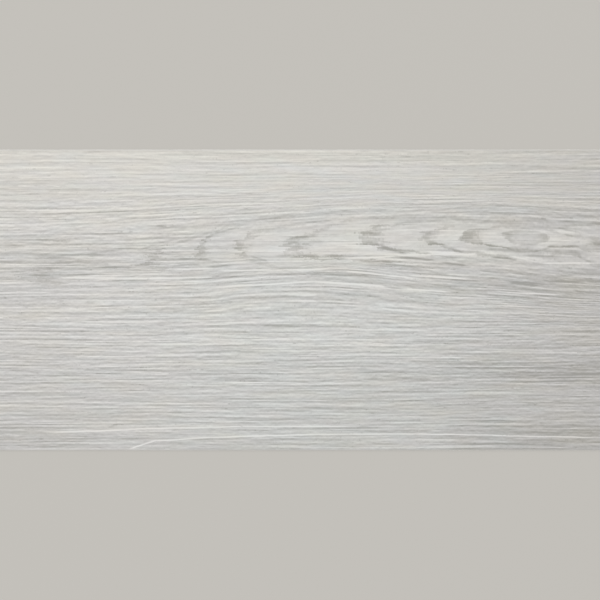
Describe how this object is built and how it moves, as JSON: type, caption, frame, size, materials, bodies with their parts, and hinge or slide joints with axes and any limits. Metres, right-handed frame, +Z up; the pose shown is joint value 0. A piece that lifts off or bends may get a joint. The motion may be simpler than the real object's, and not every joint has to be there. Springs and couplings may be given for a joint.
{
  "type": "vinyl floor plank",
  "caption": "Thin straight-edged vinyl floor plank with a fine bevel round its pale grey wood-grain face, glued down flat and butted edge to edge.",
  "frame": {"origin": "middle of the plank's back, the face that is glued to the floor", "axes": "+X along the plank's length, +Y across its width, +Z up out of the wood-grain face"},
  "size_m": [1.219, 0.184, 0.0025],
  "materials": {
    "printed_vinyl": "matt, pale grey limed-oak print under a clear wear layer, lightly embossed along the grain"
  },
  "bodies": {
    "root": {"plank": "printed_vinyl"}
  },
  "joints": []
}
